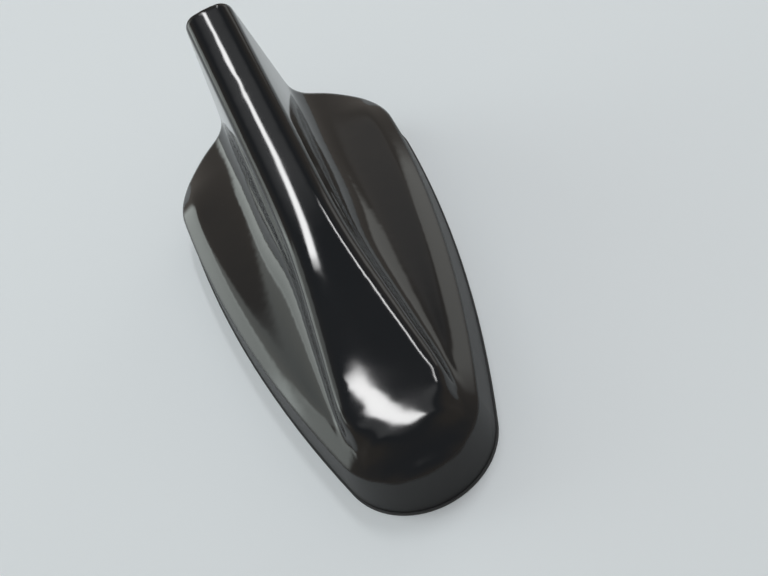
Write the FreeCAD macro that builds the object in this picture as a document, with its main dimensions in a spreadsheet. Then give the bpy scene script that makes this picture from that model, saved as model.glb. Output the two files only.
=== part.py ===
import FreeCAD, Part
import math
import os
import Sketcher
from FreeCAD import Placement, Rotation, Vector

# Roof antenna with a swept-back fin. The nose points to -Y, the tail to +Y, and +Z is up.
# The origin is the axis of the fixing thread, at the height of the roof.

doc = FreeCAD.newDocument("roof_antenna")

# Driving dimensions in millimetres, with angles in degrees.
SIZES = [
    # Outline of the skirt on the roof
    ("base_length", 150.0),
    ("base_width", 73.4),
    ("nose_radius", 21.0),
    ("side_radius", 390.0),
    ("tail_radius", 260.0),
    ("corner_radius", 24.0),
    # Skirt, bevel and deck of the cover
    ("lip_height", 0.8),
    ("skirt_height", 12.6),
    ("skirt_draft", 6.5),
    ("bevel_width", 4.6),
    ("bevel_angle", 33.0),
    ("deck_angle", 14.0),
    # Fin: height of the ridge over the nose, at the knee and at the tail
    ("nose_height", 20.4),
    ("nose_setback", 14.0),
    ("nose_bow", 1.7),
    ("bow_length", 26.0),
    ("knee_height", 27.0),
    ("knee_place", 2.0),
    ("knee_blend", 26.0),
    ("fin_height", 68.0),
    ("nose_fin_width", 29.5),
    ("waist_width", 16.8),
    ("waist_blend", 12.0),
    ("tip_width", 14.6),
    ("fin_draft", 5.5),
    ("fin_edge_radius", 5.0),
    ("fin_crown", 0.25),
    ("fin_foot_radius", 6.5),
    ("knee_foot_radius", 11.5),
    ("nose_side_angle", 66.0),
    ("nose_blend", 1.4),
    # Shell of the cover
    ("cover_wall", 2.2),
    ("boss_radius", 2.8),
    ("boss_inset", 9.6),
    ("boss_front_share", -0.2),
    ("boss_middle_share", 0.08),
    ("boss_rear_share", 0.36),
    # Clearances
    ("fit_gap", 0.3),
    ("seal_gap", 0.05),
    ("thread_gap", 0.05),
    # Gasket
    ("gasket_thickness", 3.2),
    ("lip_proud", 0.3),
    ("land_width", 9.0),
    ("land_depth", 0.7),
    ("island_margin", 4.5),
    # Base plate
    ("plate_thickness", 3.0),
    ("groove_width", 1.4),
    ("groove_depth", 1.2),
    ("rib_height", 1.6),
    ("rib_thickness", 1.4),
    ("shank_side", 15.0),
    ("shank_recess", 0.4),
    ("thread_radius", 2.5),
    ("thread_depth", 6.8),
    ("thread_wall", 4.0),
    ("cap_thickness", 0.9),
    ("post_height", 2.5),
    ("post_radius", 2.8),
    # Cover screws, from below
    ("cover_screw_radius", 1.4),
    ("cover_screw_length", 8.0),
    ("cover_head_radius", 2.7),
    ("cover_head_height", 1.6),
    ("drive_radius", 1.0),
    ("drive_depth", 0.9),
    # Main board and its screws
    ("board_thickness", 1.6),
    ("board_inset", 13.2),
    ("board_screw_radius", 1.1),
    ("board_screw_length", 5.0),
    ("board_head_radius", 2.1),
    ("board_head_height", 1.5),
    ("front_post_share", -0.373),
    ("middle_post_share", -0.093),
    ("middle_post_side", 14.0),
    ("rear_post_share", 0.333),
    ("rear_post_side", 17.0),
    # Amplifier
    ("shield_width", 20.0),
    ("shield_length", 30.0),
    ("shield_height", 4.6),
    ("shield_sheet", 0.4),
    ("shield_share", -0.047),
    ("shield_vent_radius", 1.0),
    ("shield_vent_pitch", 5.0),
    ("chip_side", 5.0),
    ("chip_height", 1.1),
    ("choke_side", 3.2),
    ("choke_height", 2.4),
    # Satellite patch
    ("patch_side", 18.0),
    ("patch_height", 4.0),
    ("patch_share", -0.267),
    ("pad_height", 1.0),
    ("feed_radius", 0.45),
    ("feed_head_radius", 1.1),
    ("feed_head_height", 0.4),
    ("feed_offset", 2.0),
    # Upright board in the fin
    ("blade_thickness", 1.2),
    ("blade_front_share", 0.133),
    ("blade_rear_share", 0.393),
    ("blade_top_gap", 3.2),
    ("blade_tip_length", 7.0),
    ("trace_width", 1.2),
    ("trace_pitch", 3.6),
    ("trace_thickness", 0.15),
    ("trace_margin", 2.0),
    ("trace_start", 8.0),
    ("clip_length", 4.0),
    ("clip_height", 4.5),
    ("clip_sheet", 0.5),
    ("clip_foot", 2.2),
    ("clip_setback", 2.5),
    ("foam_height", 7.0),
    ("foam_length", 6.0),
    ("foam_thickness", 1.9),
    # Folded sheet element beside the fin
    ("phone_place", 12.0),
    ("phone_front_share", 0.12),
    ("phone_length", 24.0),
    ("phone_height", 5.6),
    ("phone_fold", 4.0),
    ("phone_sheet", 0.5),
    ("phone_foot", 3.0),
    # Gland for the leads
    ("gland_share", 0.2),
    ("lead_radius", 3.6),
    ("gland_wall", 1.6),
    ("gland_flange", 1.4),
    ("gland_lip", 1.2),
]

sheet = doc.addObject("Spreadsheet::Sheet", "dim")
for row, (alias, value) in enumerate(SIZES, start=1):
    sheet.set(f"A{row}", alias)
    sheet.set(f"B{row}", str(value))
    sheet.setAlias(f"B{row}", alias)
doc.recompute()


def size(alias):
    """Return one driving dimension as a number."""
    return float(sheet.get(alias))


def tangent(alias):
    """Return the tangent of an angle kept in the sheet."""
    return math.tan(math.radians(size(alias)))


# Heights of the stack, as expressions
PLATE_BOTTOM = "dim.gasket_thickness"
PLATE_TOP = "(dim.gasket_thickness + dim.plate_thickness)"
THREAD_TOP = "(dim.shank_recess + dim.thread_depth + dim.cap_thickness)"
BOARD_BOTTOM = f"max({PLATE_TOP} + dim.post_height; {THREAD_TOP} + dim.fit_gap)"
BOARD_TOP = f"({BOARD_BOTTOM} + dim.board_thickness)"
GLAND_NECK = "(dim.lead_radius + dim.gland_wall)"
GLAND_RIM = f"({GLAND_NECK} + dim.gland_flange)"

# Places along the length, as expressions
GLAND_PLACE = "(dim.gland_share * dim.base_length)"
SHIELD_PLACE = "(dim.shield_share * dim.base_length)"
PATCH_PLACE = "(dim.patch_share * dim.base_length)"
BLADE_FRONT = "(dim.blade_front_share * dim.base_length)"
BLADE_REAR = "(dim.blade_rear_share * dim.base_length)"
PHONE_FRONT = "(dim.phone_front_share * dim.base_length)"


def wall_inset(height):
    """Return the expression of the cover's inner wall, inside the outline, at a height."""
    return f"(dim.cover_wall + {height} * tan(dim.skirt_draft * 1 deg))"


PLATE_INSET = f"({wall_inset(PLATE_TOP)} + dim.fit_gap)"


def bind(obj, expressions):
    """Bind properties of an object to expressions on the sheet."""
    for path, expression in expressions.items():
        obj.setExpression(path, str(expression))
    return obj


def placed(x, y, z):
    """Return the expressions of a position."""
    return {
        "Placement.Base.x": x,
        "Placement.Base.y": y,
        "Placement.Base.z": z,
    }


def box(name, lengths, corner):
    """Add a block from its three lengths and its lowest corner."""
    block = doc.addObject("Part::Box", name)
    bind(block, dict(zip(("Length", "Width", "Height"), lengths)))
    return bind(block, placed(*corner))


def cylinder(name, radius, height, base):
    """Add an upright cylinder from the centre of its lower face."""
    rod = doc.addObject("Part::Cylinder", name)
    bind(rod, {"Radius": radius, "Height": height})
    return bind(rod, placed(*base))


def cut(name, base, tools):
    """Take one or more tools away from a base."""
    tool = tools[0] if len(tools) == 1 else fuse(f"{name}_tools", tools)
    result = doc.addObject("Part::Cut", name)
    result.Base = base
    result.Tool = tool
    return result


def fuse(name, shapes):
    """Join shapes into one solid."""
    result = doc.addObject("Part::MultiFuse", name)
    result.Shapes = shapes
    return result


def common(name, shapes):
    """Keep what all shapes share."""
    result = doc.addObject("Part::MultiCommon", name)
    result.Shapes = shapes
    return result


def group(name, solids):
    """Keep like solids together as one piece of the record."""
    result = doc.addObject("Part::Compound", name)
    result.Links = solids
    return result


# Outline of the skirt: nose arc, two flanks, two corners and a tail arc, all tangent.

def crossing(first, first_radius, second, second_radius):
    """Return the crossing of two circles that lies on the right-hand side."""
    step = second - first
    gap = step.Length
    along = (gap ** 2 + first_radius ** 2 - second_radius ** 2) / (2 * gap)
    across = math.sqrt(first_radius ** 2 - along ** 2)
    unit = step / gap
    foot = first + unit * along
    ends = [foot + Vector(-unit.y, unit.x, 0) * side for side in (across, -across)]
    return max(ends, key=lambda point: point.x)


def outline_centres():
    """Return the centres of the nose, right flank, right corner and tail arcs."""
    half_length = size("base_length") / 2
    nose = Vector(0, size("nose_radius") - half_length, 0)
    flank_x = size("base_width") / 2 - size("side_radius")
    reach = size("side_radius") - size("nose_radius")
    flank = Vector(flank_x, nose.y + math.sqrt(reach ** 2 - flank_x ** 2), 0)
    tail = Vector(0, half_length - size("tail_radius"), 0)
    corner = crossing(
        flank,
        size("side_radius") - size("corner_radius"),
        tail,
        size("tail_radius") - size("corner_radius"),
    )
    return nose, flank, corner, tail


NOSE, FLANK, CORNER, TAIL = outline_centres()


def half_width(y, inset=0.0):
    """Return half the outline's width at y, on the nose arc or the flank."""
    nose_radius = size("nose_radius") - inset
    side_radius = size("side_radius") - inset
    joint = NOSE + (NOSE - FLANK).normalize() * nose_radius
    if y < joint.y:
        return math.sqrt(max(nose_radius ** 2 - (y - NOSE.y) ** 2, 0.0))
    return FLANK.x + math.sqrt(side_radius ** 2 - (y - FLANK.y) ** 2)


def edge_distance(x, y):
    """Return how far a point lies inside the nose arc, the flank or the corner.

    Round the corner the distance goes over into the flank's own, so the bevel dies out
    on the way to the tail.
    """
    from_nose = Vector(abs(x), y, 0) - NOSE
    normal = (NOSE - FLANK).normalize()
    if from_nose.x * -normal.y + from_nose.y * normal.x < 0 and y < NOSE.y + 1:
        return size("nose_radius") - from_nose.Length
    to_flank = size("side_radius") - (Vector(abs(x), y, 0) - FLANK).Length
    from_corner = Vector(abs(x), y, 0) - CORNER
    if from_corner.x <= 0 or from_corner.y <= 0:
        return to_flank
    to_corner = size("corner_radius") - from_corner.Length
    return to_flank + (to_corner - to_flank) * from_corner.x / from_corner.Length


def outline_sketch():
    """Draw the skirt's outline on the roof."""
    sketch = doc.addObject("Sketcher::SketchObject", "outline")

    def flip(point):
        return Vector(-point.x, point.y, 0)

    nose_end = NOSE + (NOSE - FLANK).normalize() * size("nose_radius")
    corner_start = CORNER + (CORNER - FLANK).normalize() * size("corner_radius")
    corner_end = CORNER + (CORNER - TAIL).normalize() * size("corner_radius")

    def arc(centre, start, end):
        radius = (start - centre).Length
        first = math.atan2(start.y - centre.y, start.x - centre.x)
        last = math.atan2(end.y - centre.y, end.x - centre.x)
        circle = Part.Circle(centre, Vector(0, 0, 1), radius)
        return Part.ArcOfCircle(circle, first, last)

    arcs = [
        arc(NOSE, flip(nose_end), nose_end),
        arc(FLANK, nose_end, corner_start),
        arc(CORNER, corner_start, corner_end),
        arc(TAIL, corner_end, flip(corner_end)),
        arc(flip(CORNER), flip(corner_end), flip(corner_start)),
        arc(flip(FLANK), flip(corner_start), flip(nose_end)),
    ]
    sketch.addGeometry(arcs)
    count = len(arcs)
    for index in range(count):
        sketch.addConstraint(Sketcher.Constraint("Tangent", index, 2, (index + 1) % count, 1))

    radii = ("nose", "side", "corner", "tail", "corner", "side")
    for index, stem in enumerate(radii):
        value = size(f"{stem}_radius")
        place = sketch.addConstraint(Sketcher.Constraint("Radius", index, value))
        sketch.setExpression(f"Constraints[{place}]", f"dim.{stem}_radius")
    for index in (0, 3):
        sketch.addConstraint(Sketcher.Constraint("PointOnObject", index, 3, -2))
    places = [
        ("DistanceY", 0, NOSE.y, "dim.nose_radius - dim.base_length / 2"),
        ("DistanceY", 3, TAIL.y, "dim.base_length / 2 - dim.tail_radius"),
        ("DistanceX", 1, FLANK.x, "dim.base_width / 2 - dim.side_radius"),
        ("DistanceX", 5, -FLANK.x, "dim.side_radius - dim.base_width / 2"),
    ]
    for kind, index, value, expression in places:
        place = sketch.addConstraint(Sketcher.Constraint(kind, -1, 1, index, 3, value))
        sketch.setExpression(f"Constraints[{place}]", expression)
    return sketch


OUTLINE = outline_sketch()
doc.recompute()


def plan_solid(name, inset, bottom, top, draft="0"):
    """Raise the outline, moved inwards by an inset, between two heights."""
    plan = doc.addObject("Part::Offset2D", f"{name}_plan")
    plan.Source = OUTLINE
    bind(plan, {"Value": f"-({inset})"})
    solid = doc.addObject("Part::Extrusion", name)
    solid.Base = plan
    solid.DirMode = "Custom"
    solid.Dir = Vector(0, 0, 1)
    solid.Solid = True
    bind(solid, {"LengthFwd": f"{top}", "LengthRev": f"-({bottom})", "TaperAngle": f"-({draft})"})
    return solid


# Form of the cover: cross-sections of deck and fin from nose to tail.

def soft_step(distance, blend):
    """Return a distance kept at zero on the negative side, with a soft bend."""
    return (distance + math.sqrt(distance ** 2 + blend ** 2)) / 2


def soft_least(first, second, blend):
    """Return the lesser of two heights, with a soft corner between them."""
    return (first + second - math.sqrt((first - second) ** 2 + blend ** 2)) / 2


def soft_most(first, second, blend):
    """Return the greater of two lengths, with a soft corner between them."""
    return -soft_least(-first, -second, blend)


def ridge_height(y):
    """Return the height of the fin's ridge at y."""
    half_length = size("base_length") / 2
    nose_y = size("nose_setback") - half_length
    knee_y = size("knee_place")
    rise = (size("knee_height") - size("nose_height")) / (knee_y - nose_y)
    climb = (size("fin_height") - size("knee_height")) / (half_length - knee_y)
    bend = soft_step(y - knee_y, size("knee_blend"))
    bow = soft_step(nose_y + size("bow_length") - y, 8.0) / size("bow_length")
    straight = size("nose_height") + rise * (y - nose_y)
    return straight + (climb - rise) * bend - size("nose_bow") * bow ** 2


def fin_half_width(y):
    """Return half the fin's width at y, below its rounded edges."""
    knee_y = size("knee_place")
    blend = size("waist_blend")
    flare = (size("nose_fin_width") - size("waist_width")) / (knee_y - NOSE.y) / 2
    taper = (size("waist_width") - size("tip_width")) / (size("base_length") / 2 - knee_y) / 2
    widening = flare * soft_step(knee_y - y, blend)
    return size("waist_width") / 2 + widening - taper * soft_step(y - knee_y, blend)


def bevel_height(distance):
    """Return the height of the bevel at a distance inside the outline."""
    skirt_inset = size("skirt_height") * tangent("skirt_draft")
    return size("skirt_height") + tangent("bevel_angle") * (distance - skirt_inset)


def deck_distance():
    """Return how far inside the outline the deck begins."""
    return size("skirt_height") * tangent("skirt_draft") + size("bevel_width")


def deck_height(distance):
    """Return the height of the deck, or of the bevel outside it."""
    begin = deck_distance()
    deck = bevel_height(begin) + tangent("deck_angle") * (distance - begin)
    return min(deck, bevel_height(distance))


def nose_limit(x, y):
    """Return the height of the slopes that close the fin in front and over the nose's sides."""
    front = bevel_height(y + size("base_length") / 2)
    distance = edge_distance(x, y)
    inside = max(distance - deck_distance(), 0.0)
    beside = bevel_height(distance) + tangent("nose_side_angle") * inside
    return soft_least(front, beside, size("nose_blend"))


def foot_radius(y):
    """Return the radius of the hollow at the fin's foot, which is wider towards the nose."""
    tail_y = size("base_length") / 2
    share = (tail_y - y) / (tail_y - size("knee_place"))
    return size("fin_foot_radius") + share * (size("knee_foot_radius") - size("fin_foot_radius"))


def arc_poles(centre, across, upright, turns):
    """Return the poles of a rounding, a little outside it so that the curve lies on it."""
    poles = []
    step = math.radians(turns[1] - turns[0])
    reach = 1 + step ** 2 / 6
    for turn in turns:
        angle = math.radians(turn)
        x = centre[0] + reach * across * math.sin(angle)
        poles.append((x, centre[1] + reach * upright * math.cos(angle)))
    return poles


def section_poles(y, wall):
    """Return the right-hand poles of the form's top line at y, from ridge to skirt."""
    station = max(y, NOSE.y - 3)
    width = half_width(station)
    half = soft_least(fin_half_width(station), width - 4.5, 2.0) - wall
    top = ridge_height(y) - wall

    def deck_at(x, place):
        return deck_height(edge_distance(x, place)) - wall

    height = max(top - deck_at(half, station), 1.0)
    edge = soft_least(size("fin_edge_radius") - 0.6 * wall, 0.6 * height, 1.0)
    edge_out = soft_least(edge, 0.62 * half, 1.0)
    edge_up = soft_least(edge, 0.42 * height, 1.0)
    crown = size("fin_crown")
    side = height - edge_up - crown
    foot_x = half + tangent("fin_draft") * side
    deck_x = soft_most(half_width(station, deck_distance()), foot_x + 3.0, 2.0)
    cove = foot_radius(station) + wall
    cove_up = soft_least(cove, 0.85 * side, 2.0)
    cove_out = soft_least(cove, 0.7 * (deck_x - foot_x), 2.0)
    edge_low = top - crown - edge_up
    cove_top = top - height + cove_up

    flat = half - edge_out
    fin = [(0.0, top), (0.4 * flat, top - 0.2 * crown), (0.8 * flat, top - 0.7 * crown)]
    rounded = arc_poles((flat, edge_low), edge_out, edge_up, (15, 40, 65, 90))
    fin += [(min(x, half), z) for x, z in rounded]
    fin.append(((half + foot_x) / 2, (edge_low + cove_top) / 2))
    hollow = arc_poles((foot_x + cove_out, cove_up), -cove_out, -cove_up, (90, 65, 40, 15))
    fin += [(max(x, foot_x), deck_at(x, station) + z) for x, z in hollow]
    closed = []
    for x, z in fin:
        limit = nose_limit(x, y) - 1.2 * wall
        closed.append((x, max(soft_least(z, limit, size("nose_blend")), deck_at(x, y))))

    skirt_x = width - size("skirt_height") * tangent("skirt_draft")
    foot_end = foot_x + cove_out
    across = [foot_end + 0.3 * (deck_x - foot_end), deck_x - 1.2, deck_x]
    across += [(deck_x + skirt_x) / 2, skirt_x, width + 2.5, width + 5.0]
    return closed + [(x, deck_at(x, y)) for x in sorted(across)]


def section_wire(y, wall, floor):
    """Return the closed cross-section of the form at y."""
    right = [(x, max(z, floor + 1.2)) for x, z in section_poles(y, wall)]
    line = [(-x, z) for x, z in reversed(right[1:])] + right
    poles = [Vector(x, y, z) for x, z in line]
    spans = len(poles) - 3
    curve = Part.BSplineCurve()
    curve.buildFromPolesMultsKnots(
        poles, [4] + [1] * (spans - 1) + [4], list(range(spans + 1)), False, 3
    )
    left_foot = Vector(poles[0].x, y, floor)
    right_foot = Vector(poles[-1].x, y, floor)
    sides = [
        Part.makeLine(poles[-1], right_foot),
        Part.makeLine(right_foot, left_foot),
        Part.makeLine(left_foot, poles[0]),
    ]
    return Part.Wire([curve.toShape()] + sides)


# Stations behind the tip of the nose and ahead of the tail; between them they are even.
NOSE_STATIONS = (-1.5, 1.5, 4.5, 7.5, 10.0, 12.0, 14.0, 16.5, 20.0, 26.0, 34.0, 43.0)
TAIL_STATIONS = (17.0, 12.0, 8.0, 4.5, 1.5, -2.0)
MIDDLE_STATIONS = 5


def form_solid(name, wall, floor):
    """Loft the deck and fin from nose to tail, inset by a wall."""
    length = size("base_length")
    tail = [length - ahead for ahead in TAIL_STATIONS]
    step = (tail[0] - NOSE_STATIONS[-1]) / (MIDDLE_STATIONS + 1)
    middle = [NOSE_STATIONS[-1] + step * count for count in range(1, MIDDLE_STATIONS + 1)]
    sections = []
    for index, behind in enumerate(list(NOSE_STATIONS) + middle + tail):
        section = doc.addObject("Part::Feature", f"{name}_section_{index}")
        section.Shape = section_wire(behind - length / 2, wall, floor)
        sections.append(section)
    loft = doc.addObject("Part::Loft", name)
    loft.Sections = sections
    loft.Solid = True
    loft.Ruled = False
    return loft


def boss_places():
    """Return the places of the cover's screw bosses."""
    places = []
    for alias in ("boss_front_share", "boss_middle_share", "boss_rear_share"):
        y = size(alias) * size("base_length")
        x = half_width(y) - size("boss_inset")
        places += [(x, y), (-x, y)]
    return places


BOSSES = boss_places()
FRONT_POST = "dim.front_post_share * dim.base_length"
MIDDLE_POST = "dim.middle_post_share * dim.base_length"
REAR_POST = "dim.rear_post_share * dim.base_length"
POSTS = [
    ("0", FRONT_POST),
    ("dim.middle_post_side", MIDDLE_POST),
    ("-dim.middle_post_side", MIDDLE_POST),
    ("dim.rear_post_side", REAR_POST),
    ("-dim.rear_post_side", REAR_POST),
]


def make_cover():
    """Moulded shell: lofted form trimmed by the drafted skirt, hollowed, with bosses."""
    ceiling = "(dim.fin_height + 10)"
    form = form_solid("cover_form", 0.0, size("lip_height"))
    skirt = plan_solid("cover_skirt", "0", "0", ceiling, "dim.skirt_draft")
    outside = common("cover_outside", [form, skirt])
    core = form_solid("cover_core", size("cover_wall"), -2.0)
    core_skirt = plan_solid("cover_core_skirt", "dim.cover_wall", "0", ceiling, "dim.skirt_draft")
    inside = common("cover_inside", [core, core_skirt])
    shell = cut("cover_shell", outside, [inside])

    boss_top = deck_height(size("boss_inset")) - size("cover_wall") / 2
    bosses = []
    pilots = []
    for index, (x, y) in enumerate(BOSSES):
        height = f"{boss_top} - {PLATE_TOP}"
        bosses.append(cylinder(f"boss_{index}", "dim.boss_radius", height, (x, y, PLATE_TOP)))
        depth = "dim.cover_screw_length + dim.cover_head_height + dim.fit_gap - dim.plate_thickness"
        radius = "dim.cover_screw_radius + dim.thread_gap"
        pilots.append(cylinder(f"pilot_{index}", radius, depth, (x, y, PLATE_TOP)))
    return cut("cover", fuse("cover_with_bosses", [shell] + bosses), pilots)


def make_gasket():
    """Rubber pad with a lip under the skirt and two sealing lands on the roof."""
    lip = plan_solid("gasket_lip", "-dim.lip_proud", "0", "dim.lip_height")
    inset = f"{wall_inset(PLATE_BOTTOM)} + dim.fit_gap"
    pad = plan_solid("gasket_pad", inset, "dim.lip_height", PLATE_BOTTOM)
    relief = plan_solid("gasket_relief", "dim.land_width", "0", "dim.land_depth")
    shank_island = "dim.shank_side * 0.75 + dim.island_margin"
    gland_island = f"{GLAND_RIM} + dim.island_margin"
    islands = [
        cylinder("shank_island", shank_island, "dim.land_depth", ("0", "0", "0")),
        cylinder("gland_island", gland_island, "dim.land_depth", ("0", GLAND_PLACE, "0")),
    ]
    recess = cut("gasket_recess", relief, islands)
    side = "dim.shank_side + 2 * dim.fit_gap"
    corner = "-dim.shank_side / 2 - dim.fit_gap"
    shank_hole = box("gasket_shank_hole", (side, side, PLATE_BOTTOM), (corner, corner, "0"))
    gland_radius = f"{GLAND_RIM} + dim.fit_gap"
    gland_hole = cylinder(
        "gasket_gland_hole", gland_radius, PLATE_BOTTOM, ("0", GLAND_PLACE, "0")
    )
    body = fuse("gasket_body", [lip, pad])
    return cut("roof_gasket", body, [recess, shank_hole, gland_hole])


def groove_heights():
    """Return the expressions of the lower and upper edge of the plate's groove."""
    margin = "(dim.plate_thickness - dim.groove_width) / 2"
    return f"({PLATE_BOTTOM} + {margin})", f"({PLATE_TOP} - {margin})"


def make_rim_seal():
    """Rubber ring in the groove of the plate's edge, against the cover's wall."""
    bottom, top = groove_heights()
    outer = plan_solid("seal_outer", f"{wall_inset(top)} + dim.seal_gap", bottom, top)
    inner = plan_solid("seal_inner", f"{PLATE_INSET} + dim.groove_depth", bottom, top)
    return cut("rim_seal", outer, [inner])


def make_base_plate():
    """Die-cast chassis: slab with an edge groove, square shank, thread, posts and rib."""
    slab = plan_solid("plate_slab", PLATE_INSET, PLATE_BOTTOM, PLATE_TOP)
    rib_top = f"{PLATE_TOP} + dim.rib_height"
    rib_outer = plan_solid("rib_outer", f"{PLATE_INSET} + dim.groove_depth", PLATE_TOP, rib_top)
    rib_inset = f"{PLATE_INSET} + dim.groove_depth + dim.rib_thickness"
    rib_inner = plan_solid("rib_inner", rib_inset, PLATE_TOP, rib_top)
    rib = cut("plate_rib", rib_outer, [rib_inner])
    shank_height = f"{PLATE_BOTTOM} - dim.shank_recess"
    shank = box(
        "plate_shank",
        ("dim.shank_side", "dim.shank_side", shank_height),
        ("-dim.shank_side / 2", "-dim.shank_side / 2", "dim.shank_recess"),
    )
    hub_height = f"{THREAD_TOP} - {PLATE_BOTTOM}"
    hub = cylinder(
        "plate_hub", "dim.thread_radius + dim.thread_wall", hub_height, ("0", "0", PLATE_BOTTOM)
    )
    post_height = f"{BOARD_BOTTOM} - {PLATE_TOP}"
    posts = [
        cylinder(f"plate_post_{index}", "dim.post_radius", post_height, (x, y, PLATE_TOP))
        for index, (x, y) in enumerate(POSTS)
    ]
    body = fuse("plate_body", [slab, rib, shank, hub] + posts)

    bottom, top = groove_heights()
    groove_outer = plan_solid("groove_outer", "0", bottom, top)
    groove_inner = plan_solid("groove_inner", f"{PLATE_INSET} + dim.groove_depth", bottom, top)
    tools = [cut("plate_groove", groove_outer, [groove_inner])]
    thread_base = ("0", "0", "dim.shank_recess")
    tools.append(cylinder("plate_thread", "dim.thread_radius", "dim.thread_depth", thread_base))
    gland_base = ("0", GLAND_PLACE, PLATE_BOTTOM)
    tools.append(cylinder("plate_gland", GLAND_NECK, "dim.plate_thickness", gland_base))
    for index, (x, y) in enumerate(BOSSES):
        base = (x, y, PLATE_BOTTOM)
        hole = "dim.cover_screw_radius + dim.fit_gap"
        seat = "dim.cover_head_radius + dim.fit_gap"
        tools.append(cylinder(f"plate_hole_{index}", hole, "dim.plate_thickness", base))
        tools.append(cylinder(f"plate_seat_{index}", seat, "dim.cover_head_height", base))
    depth = "dim.board_screw_length - dim.board_thickness + dim.fit_gap"
    for index, (x, y) in enumerate(POSTS):
        radius = "dim.board_screw_radius + dim.thread_gap"
        base = (x, y, f"{BOARD_BOTTOM} - ({depth})")
        tools.append(cylinder(f"post_bore_{index}", radius, depth, base))
    return cut("base_plate", body, tools)


def screw(name, kind, place, head_base, shank_base, drive_base):
    """Make a screw from its head, its shank and a hexagonal drive recess."""
    x, y = place
    head = cylinder(
        f"{name}_head", f"dim.{kind}_head_radius", f"dim.{kind}_head_height", (x, y, head_base)
    )
    shank = cylinder(
        f"{name}_shank", f"dim.{kind}_screw_radius", f"dim.{kind}_screw_length", (x, y, shank_base)
    )
    drive = doc.addObject("Part::Prism", f"{name}_drive")
    drive.Polygon = 6
    bind(drive, {"Circumradius": "dim.drive_radius", "Height": "dim.drive_depth"})
    bind(drive, placed(x, y, drive_base))
    return cut(name, fuse(f"{name}_body", [head, shank]), [drive])


def make_cover_screws():
    """Self-tapping screws through the plate into the cover's bosses."""
    shank_base = f"{PLATE_BOTTOM} + dim.cover_head_height"
    screws = [
        screw(f"cover_screw_{index}", "cover", place, PLATE_BOTTOM, shank_base, PLATE_BOTTOM)
        for index, place in enumerate(BOSSES)
    ]
    return group("cover_screws", screws)


def make_board_screws():
    """Screws that hold the board on the plate's posts."""
    shank_base = f"{BOARD_TOP} - dim.board_screw_length"
    drive_base = f"{BOARD_TOP} + dim.board_head_height - dim.drive_depth"
    screws = [
        screw(f"board_screw_{index}", "board", place, BOARD_TOP, shank_base, drive_base)
        for index, place in enumerate(POSTS)
    ]
    return group("board_screws", screws)


FEED_PLACE = ("dim.feed_offset", PATCH_PLACE)


def feed_hole(name, bottom, height):
    """Make the clearance for the feed pin through one layer."""
    x, y = FEED_PLACE
    return cylinder(name, "dim.feed_radius + dim.thread_gap", height, (x, y, bottom))


def make_board():
    """Circuit board with screw holes and a hole for the feed pin."""
    board = plan_solid("board_blank", "dim.board_inset", BOARD_BOTTOM, BOARD_TOP)
    holes = [
        cylinder(
            f"board_hole_{index}",
            "dim.board_screw_radius + dim.fit_gap",
            "dim.board_thickness",
            (x, y, BOARD_BOTTOM),
        )
        for index, (x, y) in enumerate(POSTS)
    ]
    holes.append(feed_hole("board_feed_hole", BOARD_BOTTOM, "dim.board_thickness"))
    return cut("main_board", board, holes)


def make_shield():
    """Tinned can over the amplifier, open to the board, with two rows of vents."""
    outer = box(
        "shield_outer",
        ("dim.shield_width", "dim.shield_length", "dim.shield_height"),
        ("-dim.shield_width / 2", f"{SHIELD_PLACE} - dim.shield_length / 2", BOARD_TOP),
    )
    inside = "- 2 * dim.shield_sheet"
    inner = box(
        "shield_inner",
        (
            f"dim.shield_width {inside}",
            f"dim.shield_length {inside}",
            "dim.shield_height - dim.shield_sheet",
        ),
        (
            "dim.shield_sheet - dim.shield_width / 2",
            f"{SHIELD_PLACE} - dim.shield_length / 2 + dim.shield_sheet",
            BOARD_TOP,
        ),
    )
    vents = []
    for row in (-0.5, 0.5):
        for place in (-2, -1, 0, 1, 2):
            x = f"{row} * dim.shield_vent_pitch"
            y = f"{SHIELD_PLACE} + {place} * dim.shield_vent_pitch"
            vents.append(
                cylinder(
                    f"shield_vent_{len(vents)}",
                    "dim.shield_vent_radius",
                    "dim.shield_height",
                    (x, y, BOARD_TOP),
                )
            )
    return cut("amplifier_shield", outer, [inner] + vents)


def make_chips():
    """Amplifier packages under the can and two chokes behind it."""
    chip = ("dim.chip_side", "dim.chip_side", "dim.chip_height")
    choke = ("dim.choke_side", "dim.choke_side", "dim.choke_height")
    left = "-dim.chip_side / 2"
    front = f"{SHIELD_PLACE} - 2 * dim.chip_side"
    rear = f"{SHIELD_PLACE} + dim.chip_side"
    behind = f"{SHIELD_PLACE} + dim.shield_length / 2 + dim.choke_side / 2"
    return group(
        "amplifier_chips",
        [
            box("chip_front", chip, (left, front, BOARD_TOP)),
            box("chip_rear", chip, (left, rear, BOARD_TOP)),
            box("choke_right", choke, ("dim.choke_side", behind, BOARD_TOP)),
            box("choke_left", choke, ("-2 * dim.choke_side", behind, BOARD_TOP)),
        ],
    )


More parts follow.
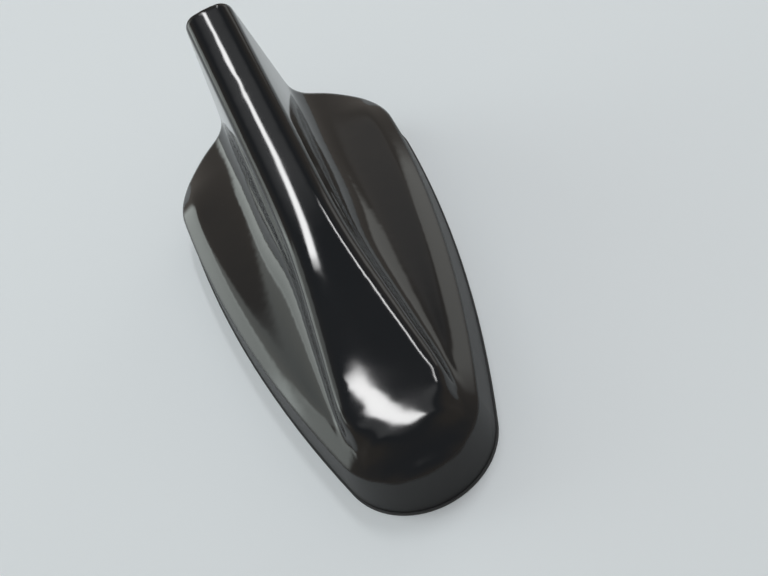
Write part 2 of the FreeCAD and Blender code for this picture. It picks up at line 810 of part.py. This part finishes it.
def make_patch():
    """Ceramic patch on its adhesive pad, with the pin that feeds it."""
    pad_side = "(dim.patch_side - 2 * dim.pad_height)"
    pad = box(
        "pad_blank",
        (pad_side, pad_side, "dim.pad_height"),
        (f"-{pad_side} / 2", f"{PATCH_PLACE} - {pad_side} / 2", BOARD_TOP),
    )
    patch_bottom = f"{BOARD_TOP} + dim.pad_height"
    patch = box(
        "patch_blank",
        ("dim.patch_side", "dim.patch_side", "dim.patch_height"),
        ("-dim.patch_side / 2", f"{PATCH_PLACE} - dim.patch_side / 2", patch_bottom),
    )
    x, y = FEED_PLACE
    stem = cylinder(
        "feed_stem",
        "dim.feed_radius",
        "dim.board_thickness + dim.pad_height + dim.patch_height",
        (x, y, BOARD_BOTTOM),
    )
    head = cylinder(
        "feed_head",
        "dim.feed_head_radius",
        "dim.feed_head_height",
        (x, y, f"{patch_bottom} + dim.patch_height"),
    )
    return [
        cut("gps_pad", pad, [feed_hole("pad_feed_hole", BOARD_TOP, "dim.pad_height")]),
        cut("gps_patch", patch, [feed_hole("patch_feed_hole", patch_bottom, "dim.patch_height")]),
        fuse("gps_feed_pin", [stem, head]),
    ]


def board_top():
    """Return the height of the board's upper face."""
    post_top = size("gasket_thickness") + size("plate_thickness") + size("post_height")
    thread_top = size("shank_recess") + size("thread_depth") + size("cap_thickness")
    return max(post_top, thread_top + size("fit_gap")) + size("board_thickness")


def blade_top(y):
    """Return the height of the upright board's sloping edge, under the fin's ridge."""
    return ridge_height(y) - size("cover_wall") - size("blade_top_gap")


def make_blade():
    """Upright board that follows the fin, with its copper track, clips and foam."""
    bottom = board_top() + size("clip_sheet")
    front = size("blade_front_share") * size("base_length")
    rear = size("blade_rear_share") * size("base_length")
    shoulder = rear - size("blade_tip_length")
    tip = blade_top(shoulder)
    half = size("blade_thickness") / 2
    corners = [(front, bottom), (rear, bottom), (rear, tip), (shoulder, tip)]
    corners.append((front, blade_top(front)))
    outline = [Vector(-half, y, z) for y, z in corners]
    blade = doc.addObject("Part::Feature", "radio_blade")
    face = Part.Face(Part.makePolygon(outline + outline[:1]))
    blade.Shape = face.extrude(Vector(2 * half, 0, 0))

    margin = size("trace_margin")
    width = size("trace_width")
    pitch = size("trace_pitch")
    slope = (shoulder - front) / (tip - blade_top(front))
    lowest = bottom + size("trace_start")
    rows = int((tip - size("foam_height") - margin - width - lowest) / pitch) + 1
    strips = []
    for row in range(rows):
        z = lowest + row * pitch
        begin = max(front, front + (z + width - blade_top(front)) * slope) + margin
        run = Part.makeBox(size("trace_thickness"), rear - margin - begin, width)
        run.Placement = Placement(Vector(half, begin, z), Rotation())
        strips.append(run)
        if row:
            link = Part.makeBox(size("trace_thickness"), width, pitch)
            y = rear - margin - width if row % 2 else begin
            link.Placement = Placement(Vector(half, y, z - pitch + width), Rotation())
            strips.append(link)
    trace = doc.addObject("Part::Feature", "radio_trace")
    trace.Shape = strips[0].multiFuse(strips[1:]).removeSplitter()

    clips = [
        make_clip("blade_clip_front", f"{BLADE_FRONT} + dim.clip_setback"),
        make_clip("blade_clip_rear", f"{BLADE_REAR} - dim.clip_setback - dim.clip_length"),
    ]
    sleeve_side = "(dim.blade_thickness / 2 + dim.foam_thickness)"
    sleeve = box(
        "foam_sleeve",
        (f"2 * {sleeve_side}", "dim.foam_length", "dim.foam_height"),
        (f"-{sleeve_side}", f"{BLADE_REAR} - dim.foam_length", f"{tip} - dim.foam_height + 1"),
    )
    foam = cut("blade_foam", sleeve, [blade])
    return [blade, trace] + clips + [foam]


def make_clip(name, front):
    """Sheet channel that holds the upright board, with feet soldered to the board."""
    inside = "(dim.blade_thickness / 2 + dim.thread_gap)"
    outside = f"({inside} + dim.clip_sheet)"
    channel = box(
        f"{name}_channel",
        (f"2 * {outside}", "dim.clip_length", "dim.clip_height"),
        (f"-{outside}", front, BOARD_TOP),
    )
    reach = f"({outside} + dim.clip_foot)"
    feet = box(
        f"{name}_feet",
        (f"2 * {reach}", "dim.clip_length", "dim.clip_sheet"),
        (f"-{reach}", front, BOARD_TOP),
    )
    slot = box(
        f"{name}_slot",
        (f"2 * {inside}", "dim.clip_length", "dim.clip_height"),
        (f"-{inside}", front, f"{BOARD_TOP} + dim.clip_sheet"),
    )
    return cut(name, fuse(f"{name}_body", [channel, feet]), [slot])


def make_phone_blade():
    """Folded sheet element: an upright, a fold along its top and two soldered feet."""
    upright = box(
        "phone_upright",
        ("dim.phone_sheet", "dim.phone_length", "dim.phone_height"),
        ("dim.phone_place", PHONE_FRONT, BOARD_TOP),
    )
    fold = box(
        "phone_top",
        ("dim.phone_fold", "dim.phone_length", "dim.phone_sheet"),
        ("dim.phone_place", PHONE_FRONT, f"{BOARD_TOP} + dim.phone_height - dim.phone_sheet"),
    )
    ends = (PHONE_FRONT, f"{PHONE_FRONT} + dim.phone_length - dim.phone_foot")
    feet = [
        box(
            f"phone_foot_{index}",
            ("dim.phone_foot", "dim.phone_foot", "dim.phone_sheet"),
            ("dim.phone_place", end, BOARD_TOP),
        )
        for index, end in enumerate(ends)
    ]
    return fuse("phone_blade", [upright, fold] + feet)


def make_gland():
    """Rubber gland for the leads, turned with a groove that grips the plate."""
    bore = "dim.lead_radius"
    neck = f"{GLAND_NECK} - dim.thread_gap"
    layers = [
        ("gland_flange", GLAND_RIM, "dim.shank_recess", PLATE_BOTTOM),
        ("gland_neck", neck, PLATE_BOTTOM, PLATE_TOP),
        ("gland_lip", GLAND_RIM, PLATE_TOP, f"{PLATE_TOP} + dim.gland_lip"),
    ]
    rings = [
        cylinder(name, radius, f"{top} - {bottom}", ("0", GLAND_PLACE, bottom))
        for name, radius, bottom, top in layers
    ]
    height = f"{PLATE_TOP} + dim.gland_lip - dim.shank_recess"
    hole = cylinder("gland_bore", bore, height, ("0", GLAND_PLACE, "dim.shank_recess"))
    return cut("lead_grommet", fuse("gland_body", rings), [hole])


PIECES = [
    make_cover(),
    make_gasket(),
    make_base_plate(),
    make_rim_seal(),
    make_cover_screws(),
    make_board(),
    make_board_screws(),
    make_shield(),
    make_chips(),
    *make_patch(),
    *make_blade(),
    make_phone_blade(),
    make_gland(),
]

doc.recompute()
for piece in PIECES:
    shape = piece.Shape
    if "Invalid" in piece.State or "Error" in piece.State or shape.isNull() or not shape.isValid():
        raise RuntimeError(f"{piece.Label} did not build")

os.makedirs("parts", exist_ok=True)
for piece in PIECES:
    piece.Shape.exportStep(f"parts/{piece.Label}.step")
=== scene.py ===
"""Looks of a car roof antenna with a swept-back fin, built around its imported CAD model."""

import logging
import math
from dataclasses import dataclass
from enum import Enum

import bmesh
import bpy
from mathutils import Matrix, Vector

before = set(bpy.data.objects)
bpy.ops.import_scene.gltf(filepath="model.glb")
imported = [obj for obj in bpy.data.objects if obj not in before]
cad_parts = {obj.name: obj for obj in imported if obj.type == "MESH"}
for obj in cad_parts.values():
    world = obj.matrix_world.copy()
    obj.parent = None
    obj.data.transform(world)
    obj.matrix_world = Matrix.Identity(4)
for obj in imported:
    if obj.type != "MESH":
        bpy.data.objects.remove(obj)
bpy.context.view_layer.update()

LOG = logging.getLogger("roof_antenna")
MM = 0.001
IMAGE_WIDTH_PX = 768
SENSOR_MM = 36.0

# Most values of a noise texture lie in this range.
NOISE_RANGE = (0.35, 0.65)
# Octaves of noise in the slow variation of tone, in a cast grain and in any other grain.
TONE_DETAIL = 3.0
CAST_DETAIL = 6.0
PLAIN_DETAIL = 2.0
# Rolling draws the marks out along the sheet's length.
ROLLED_SCALE = (1.0, 0.06, 1.0)
# Height each way over which the paint gives out at the skirt.
PAINT_FADE_MM = 0.3
# Rays with which the shading of an edge is rounded.
EDGE_SAMPLES = 8

UPRIGHT = (0.0, 0.0, 1.0)
LENGTHWISE = (0.0, 1.0, 0.0)
NEUTRAL_LIGHT = "#ffffff"
COOL_LIGHT = "#e6f1ee"
FAINTLY_COOL_LIGHT = "#eef2ef"


def linear(hex_colour: str) -> tuple[float, float, float, float]:
    """Turn an sRGB hex colour into linear RGBA.

    Args:
        hex_colour: Six hex digits with a leading hash.

    Returns:
        Linear red, green and blue, with an alpha of one.
    """
    digits = hex_colour.lstrip("#")
    parts = [int(digits[i : i + 2], 16) / 255 for i in (0, 2, 4)]
    red, green, blue = (
        c / 12.92 if c <= 0.04045 else ((c + 0.055) / 1.055) ** 2.4 for c in parts
    )
    return red, green, blue, 1.0


def add_node(
    tree: bpy.types.NodeTree,
    kind: str,
    inputs: dict[str | int, object] | None = None,
    **settings: object,
) -> bpy.types.Node:
    """Add a node with its settings and links.

    Args:
        tree: The node tree that takes the node.
        kind: Blender's name of the node type.
        inputs: Values or output sockets by the name or number of the input.
        settings: Attributes of the node itself.

    Returns:
        The new node.
    """
    node = tree.nodes.new(kind)
    for name, value in settings.items():
        setattr(node, name, value)
    for key, value in (inputs or {}).items():
        if isinstance(value, bpy.types.NodeSocket):
            tree.links.new(value, node.inputs[key])
        else:
            node.inputs[key].default_value = value
    return node


def by_height(
    tree: bpy.types.NodeTree,
    place: bpy.types.NodeSocket,
    span_mm: tuple[float, float],
    values: tuple[float, float],
) -> bpy.types.NodeSocket:
    """Add a value that changes with the height over the roof.

    Args:
        tree: The material's node tree.
        place: Object coordinates.
        span_mm: Heights between which the value changes.
        values: The value below the span and the value above it.

    Returns:
        The value.
    """
    rise = add_node(tree, "ShaderNodeSeparateXYZ", {"Vector": place}).outputs["Z"]
    low, high = span_mm
    below, above = values
    return add_node(
        tree,
        "ShaderNodeMapRange",
        {
            "Value": rise,
            "From Min": low * MM,
            "From Max": high * MM,
            "To Min": below,
            "To Max": above,
        },
    ).outputs[0]


class Grain(Enum):
    """How the surface of a material was made, which sets its fine pattern."""

    SPRAYED = "sprayed"
    MOULDED = "moulded"
    CAST = "cast"
    ROLLED = "rolled"
    FOAMED = "foamed"


@dataclass(frozen=True)
class Finish:
    """One material of the antenna, with the fine pattern its making leaves.

    Attributes:
        name: Plain name of the material and how its surface was made.
        colour: Base colour in sRGB hex.
        second: Colour of the faint variation in sRGB hex.
        roughness: Middle roughness.
        spread: How far the roughness varies each way.
        metallic: One for bare metal.
        ior: Refractive index, left at the default for metal.
        grain: The fine pattern.
        grain_mm: Size of the fine pattern, drawn as coarse as it needs to show.
        depth_mm: Height of the fine pattern.
        blotch_mm: Size of the slow variation of tone.
        round_mm: Radius that the paint or the mould leaves on an edge.
        dull_below_mm: Height over the roof up to which the surface is left dull.
        dull_roughness: Roughness of that dull band.
    """

    name: str
    colour: str
    second: str
    roughness: float
    spread: float = 0.05
    metallic: float = 0.0
    ior: float = 1.5
    grain: Grain = Grain.MOULDED
    grain_mm: float = 0.4
    depth_mm: float = 0.01
    blotch_mm: float = 12.0
    round_mm: float = 0.0
    dull_below_mm: float = 0.0
    dull_roughness: float = 0.5

    def material(self) -> bpy.types.Material:
        """Build the node material of this finish.

        Returns:
            The finished material.
        """
        made = bpy.data.materials.new(self.name)
        made.use_nodes = True
        tree = made.node_tree
        tree.nodes.clear()
        place = add_node(tree, "ShaderNodeTexCoord").outputs["Object"]
        tone = self.tone(tree, place)
        height = self.height(tree, place)
        relief = {"Height": height, "Strength": 1.0, "Distance": self.depth_mm * MM}
        if self.round_mm:
            relief["Normal"] = self.rounded(tree, place)
        bump = add_node(tree, "ShaderNodeBump", relief)
        colour = add_node(
            tree,
            "ShaderNodeMix",
            {"Factor": tone, "A": linear(self.colour), "B": linear(self.second)},
            data_type="RGBA",
        )
        rough = add_node(
            tree,
            "ShaderNodeMapRange",
            {
                "Value": tone,
                "To Min": self.roughness - self.spread,
                "To Max": self.roughness + self.spread,
            },
        )
        shader = add_node(
            tree,
            "ShaderNodeBsdfPrincipled",
            {
                "Base Color": colour.outputs[2],
                "Roughness": self.dulled(tree, place, rough.outputs[0]),
                "Metallic": self.metallic,
                "IOR": self.ior,
                "Normal": bump.outputs[0],
            },
        )
        add_node(tree, "ShaderNodeOutputMaterial", {"Surface": shader.outputs[0]})
        return made

    def tone(self, tree: bpy.types.NodeTree, place: bpy.types.NodeSocket) -> bpy.types.NodeSocket:
        """Add the slow variation of tone.

        Args:
            tree: The material's node tree.
            place: Object coordinates.

        Returns:
            A value from zero to one.
        """
        noise = add_node(
            tree,
            "ShaderNodeTexNoise",
            {"Vector": place, "Scale": 1 / (self.blotch_mm * MM), "Detail": TONE_DETAIL},
        )
        low, high = NOISE_RANGE
        return add_node(
            tree,
            "ShaderNodeMapRange",
            {"Value": noise.outputs[0], "From Min": low, "From Max": high},
        ).outputs[0]

    def rounded(
        self, tree: bpy.types.NodeTree, place: bpy.types.NodeSocket
    ) -> bpy.types.NodeSocket:
        """Round the shading of the edges above the dull band, whose lower edge stays crisp.

        Args:
            tree: The material's node tree.
            place: Object coordinates.

        Returns:
            The rounded normal.
        """
        edge = self.dull_below_mm
        span = (edge - 2 * self.round_mm, edge)
        radius = by_height(tree, place, span, (0.0, self.round_mm * MM))
        return add_node(
            tree, "ShaderNodeBevel", {"Radius": radius}, samples=EDGE_SAMPLES
        ).outputs[0]

    def dulled(
        self,
        tree: bpy.types.NodeTree,
        place: bpy.types.NodeSocket,
        roughness: bpy.types.NodeSocket,
    ) -> bpy.types.NodeSocket:
        """Keep the band next to the roof duller than the rest.

        Args:
            tree: The material's node tree.
            place: Object coordinates.
            roughness: Roughness of the rest.

        Returns:
            The roughness with the dull band, or the same where there is none.
        """
        if not self.dull_below_mm:
            return roughness
        edge = self.dull_below_mm
        span = (edge - PAINT_FADE_MM, edge + PAINT_FADE_MM)
        band = by_height(tree, place, span, (self.dull_roughness, 0.0))
        return add_node(
            tree, "ShaderNodeMath", {0: roughness, 1: band}, operation="MAXIMUM"
        ).outputs[0]

    def height(
        self, tree: bpy.types.NodeTree, place: bpy.types.NodeSocket
    ) -> bpy.types.NodeSocket:
        """Add the fine relief that the making leaves.

        Args:
            tree: The material's node tree.
            place: Object coordinates.

        Returns:
            The relief's height.
        """
        scale = 1 / (self.grain_mm * MM)
        if self.grain is Grain.FOAMED:
            cells = add_node(tree, "ShaderNodeTexVoronoi", {"Vector": place, "Scale": scale})
            return cells.outputs["Distance"]
        if self.grain is Grain.ROLLED:
            place = add_node(
                tree, "ShaderNodeMapping", {"Vector": place, "Scale": ROLLED_SCALE}
            ).outputs[0]
        detail = CAST_DETAIL if self.grain is Grain.CAST else PLAIN_DETAIL
        noise = add_node(
            tree, "ShaderNodeTexNoise", {"Vector": place, "Scale": scale, "Detail": detail}
        )
        return noise.outputs[0]


# Gloss black paint on moulded ABS: a mirror-like black with a soft orange peel, and a dull skirt
# below the paint line.
PAINTED_ABS = Finish(
    name="gloss_black_paint_on_abs",
    colour="#0e0f10",
    second="#101011",
    roughness=0.07,
    spread=0.015,
    grain=Grain.SPRAYED,
    grain_mm=2.2,
    depth_mm=0.0012,
    blotch_mm=20.0,
    round_mm=1.5,
    dull_below_mm=12.6,
    dull_roughness=0.5,
)
# Moulded EPDM rubber: a dull dark grey, with the spark-eroded grain of the mould drawn coarser
# than it is, so that it shows.
EPDM_RUBBER = Finish(
    name="moulded_epdm_rubber",
    colour="#333435",
    second="#3a3b3c",
    roughness=0.72,
    ior=1.52,
    grain_mm=0.35,
    depth_mm=0.02,
)
# Moulded silicone: soft and dark, with a little more sheen than the roof gasket.
SILICONE = Finish(
    name="moulded_silicone",
    colour="#242526",
    second="#2b2c2d",
    roughness=0.55,
    ior=1.43,
    grain_mm=0.5,
    depth_mm=0.01,
)
# Die-cast aluminium as it leaves the die and the blast cabinet: grey, with a grainy bloom.
CAST_ALUMINIUM = Finish(
    name="die_cast_aluminium",
    colour="#b7b8b6",
    second="#a3a4a2",
    roughness=0.46,
    spread=0.08,
    metallic=1.0,
    grain=Grain.CAST,
    grain_mm=0.6,
    depth_mm=0.03,
)
# Zinc plating on steel: bluish and half bright, with its crystals drawn coarse enough to show.
ZINC_PLATE = Finish(
    name="zinc_plated_steel",
    colour="#b9bcc0",
    second="#a9abae",
    roughness=0.32,
    metallic=1.0,
    grain=Grain.CAST,
    grain_mm=0.3,
    depth_mm=0.004,
)
# Tinned sheet steel: bright, with rolling marks drawn wider than they are.
TINNED_SHEET = Finish(
    name="tinned_sheet_steel",
    colour="#cfcfca",
    second="#bebeb8",
    roughness=0.26,
    metallic=1.0,
    grain=Grain.ROLLED,
    grain_mm=0.25,
    depth_mm=0.006,
)
# Tinned brass strip: pale and faintly warm, half bright, with rolling marks.
TINNED_BRASS = Finish(
    name="tinned_brass_strip",
    colour="#cdc6ad",
    second="#bdb494",
    roughness=0.3,
    metallic=1.0,
    grain=Grain.ROLLED,
    grain_mm=0.25,
    depth_mm=0.005,
)
# Etched copper track: warm and slightly dulled, with its etched grain drawn coarse enough to show.
ETCHED_COPPER = Finish(
    name="etched_copper_track",
    colour="#c17a52",
    second="#a86440",
    roughness=0.35,
    metallic=1.0,
    grain=Grain.CAST,
    grain_mm=0.3,
    depth_mm=0.004,
    blotch_mm=6.0,
)
# Green solder resist on glass-epoxy laminate: satin, with the long strands of the glass weave
# faintly showing.
SOLDER_RESIST = Finish(
    name="green_solder_resist_on_laminate",
    colour="#1f5a38",
    second="#1a4c2f",
    roughness=0.34,
    grain=Grain.ROLLED,
    grain_mm=0.7,
    depth_mm=0.006,
    blotch_mm=5.0,
)
# Moulded epoxy of the chip packages: dull black, with a fine even grain.
EPOXY_MOULDING = Finish(
    name="moulded_epoxy_package",
    colour="#18191a",
    second="#1f2021",
    roughness=0.5,
    grain_mm=0.12,
    depth_mm=0.008,
)
# Fired ceramic of the satellite element: pale and dry, with a grain drawn coarse enough to show.
FIRED_CERAMIC = Finish(
    name="fired_dielectric_ceramic",
    colour="#d8cbb2",
    second="#cdbd9f",
    roughness=0.48,
    ior=1.6,
    grain=Grain.CAST,
    grain_mm=0.3,
    depth_mm=0.006,
)
# Cellular polyurethane foam: soft charcoal with open cells.
CELL_FOAM = Finish(
    name="cellular_polyurethane_foam",
    colour="#33343a",
    second="#27282c",
    roughness=0.9,
    grain=Grain.FOAMED,
    grain_mm=0.6,
    depth_mm=0.25,
    blotch_mm=3.0,
)


@dataclass
class SubAssembly:
    """CAD pieces that are dressed together.

    Attributes:
        name: Plain name for the log.
        finishes: Finish of each CAD node.
    """

    name: str
    finishes: dict[str, Finish]

    def dress(self, nodes: dict[str, bpy.types.Object]) -> None:
        """Give each CAD node its material.

        Args:
            nodes: The frame's objects by node name.
        """
        for node, finish in self.finishes.items():
            material = bpy.data.materials.get(finish.name) or finish.material()
            mesh = nodes[node].data
            mesh.materials.clear()
            mesh.materials.append(material)
            LOG.info("%s: %s in %s", self.name, node, finish.name)


HOUSING = SubAssembly(
    "housing",
    {"cover": PAINTED_ABS, "roof_gasket": EPDM_RUBBER, "rim_seal": SILICONE},
)
CHASSIS = SubAssembly(
    "chassis",
    {
        "base_plate": CAST_ALUMINIUM,
        "cover_screws": ZINC_PLATE,
        "board_screws": ZINC_PLATE,
        "lead_grommet": EPDM_RUBBER,
    },
)
ELECTRONICS = SubAssembly(
    "electronics",
    {
        "main_board": SOLDER_RESIST,
        "amplifier_shield": TINNED_SHEET,
        "amplifier_chips": EPOXY_MOULDING,
        "gps_patch": FIRED_CERAMIC,
        "gps_pad": CELL_FOAM,
        "gps_feed_pin": TINNED_BRASS,
        "phone_blade": TINNED_BRASS,
    },
)
FIN_ELEMENT = SubAssembly(
    "fin element",
    {
        "radio_blade": SOLDER_RESIST,
        "radio_trace": ETCHED_COPPER,
        "blade_clip_front": TINNED_BRASS,
        "blade_clip_rear": TINNED_BRASS,
        "blade_foam": CELL_FOAM,
    },
)


def direction(azimuth: float, elevation: float) -> Vector:
    """Return the unit vector towards a place round the object.

    Args:
        azimuth: Degrees from -Y towards +X.
        elevation: Degrees above the floor.

    Returns:
        The unit vector.
    """
    turn = math.radians(azimuth)
    rise = math.radians(elevation)
    return Vector(
        (math.sin(turn) * math.cos(rise), -math.cos(turn) * math.cos(rise), math.sin(rise))
    )


@dataclass(frozen=True)
class SoftBox:
    """A rectangular studio lamp that faces the object.

    Attributes:
        name: Name of the lamp.
        towards: Direction from the object to the lamp.
        width: Metres across.
        length: Metres along.
        radiance: Brightness that a mirror would show in its middle.
        fade: Share of each half that dims towards the edge, across and along.
        distance: Metres from the object.
        along: Direction that the length runs in.
        colour: Colour of the light in sRGB hex.
    """

    name: str
    towards: tuple[float, float, float]
    width: float
    length: float
    radiance: float
    fade: tuple[float, float]
    distance: float = 1.6
    along: tuple[float, float, float] = UPRIGHT
    colour: str = NEUTRAL_LIGHT

    def diffuse(self, lamp: bpy.types.AreaLight) -> None:
        """Dim the lamp towards its edges, as the cloth in front of a studio lamp does.

        Args:
            lamp: The lamp's data.
        """
        lamp.use_nodes = True
        tree = lamp.node_tree
        tree.nodes.clear()
        spot = add_node(tree, "ShaderNodeNewGeometry").outputs["Parametric"]
        axes = add_node(tree, "ShaderNodeSeparateXYZ", {"Vector": spot})
        parts = []
        for axis, share in zip(axes.outputs, self.fade):
            # Nothing at the lamp's two edges and a half in its middle.
            near = add_node(tree, "ShaderNodeMath", {0: axis, 1: 0.5}, operation="PINGPONG")
            parts.append(
                add_node(
                    tree,
                    "ShaderNodeMapRange",
                    {"Value": near.outputs[0], "From Max": share / 2},
                    interpolation_type="SMOOTHSTEP",
                ).outputs[0]
            )
        level = add_node(
            tree, "ShaderNodeMath", {0: parts[0], 1: parts[1]}, operation="MULTIPLY"
        )
        glow = add_node(tree, "ShaderNodeEmission", {"Strength": level.outputs[0]})
        add_node(tree, "ShaderNodeOutputLight", {"Surface": glow.outputs[0]})

    def place(self) -> None:
        """Add the lamp to the scene."""
        lamp = bpy.data.lights.new(self.name, "AREA")
        lamp.shape = "RECTANGLE"
        lamp.size = self.width
        lamp.size_y = self.length
        lamp.energy = math.pi * self.radiance * self.width * self.length
        lamp.color = linear(self.colour)[:3]
        self.diffuse(lamp)
        back = Vector(self.towards).normalized()
        side = Vector(self.along).cross(back).normalized()
        turned = Matrix((side, back.cross(side), back)).transposed().to_4x4()
        holder = bpy.data.objects.new(self.name, lamp)
        holder.matrix_world = Matrix.Translation(back * self.distance) @ turned
        bpy.context.scene.collection.objects.link(holder)


# Two tubes draw the narrow highlights, and broad panels give the flanks their even grey.
LAMPS = (
    SoftBox(
        name="overhead_tube",
        towards=(-0.057, 0.08, 1.0),
        width=0.09,
        length=0.72,
        radiance=21.0,
        fade=(0.5, 0.3),
        distance=1.2,
        along=(-0.25, 1.0, 0.0),
    ),
    SoftBox(
        name="ceiling",
        towards=(0.0, -0.05, 1.0),
        width=1.20,
        length=0.96,
        radiance=0.55,
        fade=(0.7, 0.8),
        along=LENGTHWISE,
    ),
    SoftBox(
        name="right_tube",
        towards=(0.30, 0.42, 1.0),
        width=0.15,
        length=0.74,
        radiance=18.0,
        fade=(0.7, 0.4),
        distance=1.5,
        along=LENGTHWISE,
    ),
    SoftBox(
        name="left_panel",
        towards=(-0.71, 0.66, 0.20),
        width=0.90,
        length=0.66,
        radiance=2.5,
        fade=(0.25, 0.3),
        colour=COOL_LIGHT,
    ),
    SoftBox(
        name="left_front",
        towards=(-0.87, 0.37, 0.33),
        width=0.62,
        length=0.66,
        radiance=2.2,
        fade=(0.4, 0.4),
        colour=COOL_LIGHT,
    ),
    SoftBox(
        name="left_wall",
        towards=(-0.623, 0.561, 0.545),
        width=0.66,
        length=0.86,
        radiance=1.05,
        fade=(0.3, 0.3),
        colour=COOL_LIGHT,
    ),
    SoftBox(
        name="right_wall",
        towards=(0.40, 0.70, 0.59),
        width=0.80,
        length=0.70,
        radiance=0.18,
        fade=(0.6, 0.6),
    ),
    SoftBox(
        name="right_panel",
        towards=(0.73, 0.55, 0.39),
        width=0.76,
        length=0.62,
        radiance=1.1,
        fade=(0.3, 0.4),
        colour=FAINTLY_COOL_LIGHT,
    ),
)


@dataclass(frozen=True)
class Studio:
    """Floor and light.

    Attributes:
        floor_size: Side of the floor in metres.
        floor_gap: Metres that the floor lies under the gasket, so that no faces coincide.
        floor_colour: Colour of the floor in sRGB hex.
        floor_roughness: Roughness of the floor.
        floor_gloss: Specular level of the floor.
        floor_glow: Paleness that the floor has for the camera and in reflections.
        wall_colour: Colour of the room near the horizon in sRGB hex.
        ceiling_colour: Colour of the room overhead in sRGB hex.
        wall_top: Sine of the elevation up to which the wall keeps its colour.
        ceiling_edge: Sine of the elevation from which the ceiling has its own.
        room_strength: Brightness of the room.
        lamps: The studio lamps.
    """

    floor_size: float = 6.0
    floor_gap: float = 0.00005
    floor_colour: str = "#dfe5e8"
    floor_roughness: float = 0.8
    floor_gloss: float = 0.2
    floor_glow: float = 0.11
    wall_colour: str = "#aca59d"
    ceiling_colour: str = "#82888f"
    wall_top: float = 0.5
    ceiling_edge: float = 0.9
    room_strength: float = 1.0
    lamps: tuple[SoftBox, ...] = LAMPS

    def build(self) -> None:
        """Add the floor, the room's light and the lamps."""
        self.lay_floor()
        self.light_room()
        for lamp in self.lamps:
            lamp.place()

    def lay_floor(self) -> None:
        """Add the plain pale floor."""
        mesh = bpy.data.meshes.new("floor")
        shape = bmesh.new()
        bmesh.ops.create_grid(shape, x_segments=1, y_segments=1, size=self.floor_size / 2)
        bmesh.ops.translate(shape, verts=shape.verts, vec=(0, 0, -self.floor_gap))
        shape.to_mesh(mesh)
        shape.free()
        # Matt paper sheet: pale and even, with the soft shadow of the part left in it.
        material = bpy.data.materials.new("matt_floor_sheet")
        material.use_nodes = True
        tree = material.node_tree
        tree.nodes.clear()
        path = add_node(tree, "ShaderNodeLightPath")
        seen = add_node(
            tree,
            "ShaderNodeMath",
            {0: path.outputs["Is Camera Ray"], 1: path.outputs["Is Glossy Ray"]},
            operation="MAXIMUM",
        )
        glow = add_node(
            tree,
            "ShaderNodeMath",
            {0: seen.outputs[0], 1: self.floor_glow},
            operation="MULTIPLY",
        )
        shader = add_node(
            tree,
            "ShaderNodeBsdfPrincipled",
            {
                "Base Color": linear(self.floor_colour),
                "Roughness": self.floor_roughness,
                "Specular IOR Level": self.floor_gloss,
                "Emission Color": linear(self.floor_colour),
                "Emission Strength": glow.outputs[0],
            },
        )
        add_node(tree, "ShaderNodeOutputMaterial", {"Surface": shader.outputs[0]})
        mesh.materials.append(material)
        floor = bpy.data.objects.new("floor", mesh)
        bpy.context.scene.collection.objects.link(floor)

    def light_room(self) -> None:
        """Set the even light of the room, warmer at the walls than overhead."""
        world = bpy.data.worlds.new("room")
        world.use_nodes = True
        tree = world.node_tree
        tree.nodes.clear()
        look = add_node(tree, "ShaderNodeTexCoord").outputs["Generated"]
        height = add_node(tree, "ShaderNodeSeparateXYZ", {"Vector": look}).outputs["Z"]
        upward = add_node(
            tree,
            "ShaderNodeMapRange",
            {"Value": height, "From Min": self.wall_top, "From Max": self.ceiling_edge},
        ).outputs[0]
        colour = add_node(
            tree,
            "ShaderNodeMix",
            {
                "Factor": upward,
                "A": linear(self.wall_colour),
                "B": linear(self.ceiling_colour),
            },
            data_type="RGBA",
        )
        glow = add_node(
            tree,
            "ShaderNodeBackground",
            {"Color": colour.outputs[2], "Strength": self.room_strength},
        )
        add_node(tree, "ShaderNodeOutputWorld", {"Surface": glow.outputs[0]})
        bpy.context.scene.world = world


@dataclass(frozen=True)
class PhotoCamera:
    """Camera at the photograph's viewing angle.

    Attributes:
        azimuth: Degrees from -Y towards +X.
        elevation: Degrees above the floor.
        distance: Metres to the aim.
        aim: Point on the floor that it looks at, in metres.
        focal_px: Focal length in pixels of the image.
        roll: Degrees that it leans about its own axis.
        nearest: Metres from which it sees.
    """

    azimuth: float = 0.3
    elevation: float = 46.0
    distance: float = 0.369
    aim: tuple[float, float, float] = (0.0099, 0.0, 0.0)
    focal_px: float = 1300.0
    roll: float = -27.1
    nearest: float = 0.01

    def place(self) -> None:
        """Add the camera and make it the scene's."""
        lens = bpy.data.cameras.new("photo_camera")
        lens.sensor_width = SENSOR_MM
        lens.lens = self.focal_px * SENSOR_MM / IMAGE_WIDTH_PX
        lens.clip_start = self.nearest
        holder = bpy.data.objects.new("photo_camera", lens)
        back = direction(self.azimuth, self.elevation)
        level = (-back).to_track_quat("-Z", "Y").to_matrix().to_4x4()
        lean = Matrix.Rotation(math.radians(self.roll), 4, "Z")
        spot = Vector(self.aim) + back * self.distance
        holder.matrix_world = Matrix.Translation(spot) @ level @ lean
        bpy.context.scene.collection.objects.link(holder)
        bpy.context.scene.camera = holder


def main() -> None:
    """Dress the antenna and build the studio round it."""
    logging.basicConfig(level=logging.INFO)
    for assembly in (HOUSING, CHASSIS, ELECTRONICS, FIN_ELEMENT):
        assembly.dress(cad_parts)
    Studio().build()
    PhotoCamera().place()
    bpy.context.scene.view_settings.view_transform = "Standard"


if __name__ == "__main__":
    main()
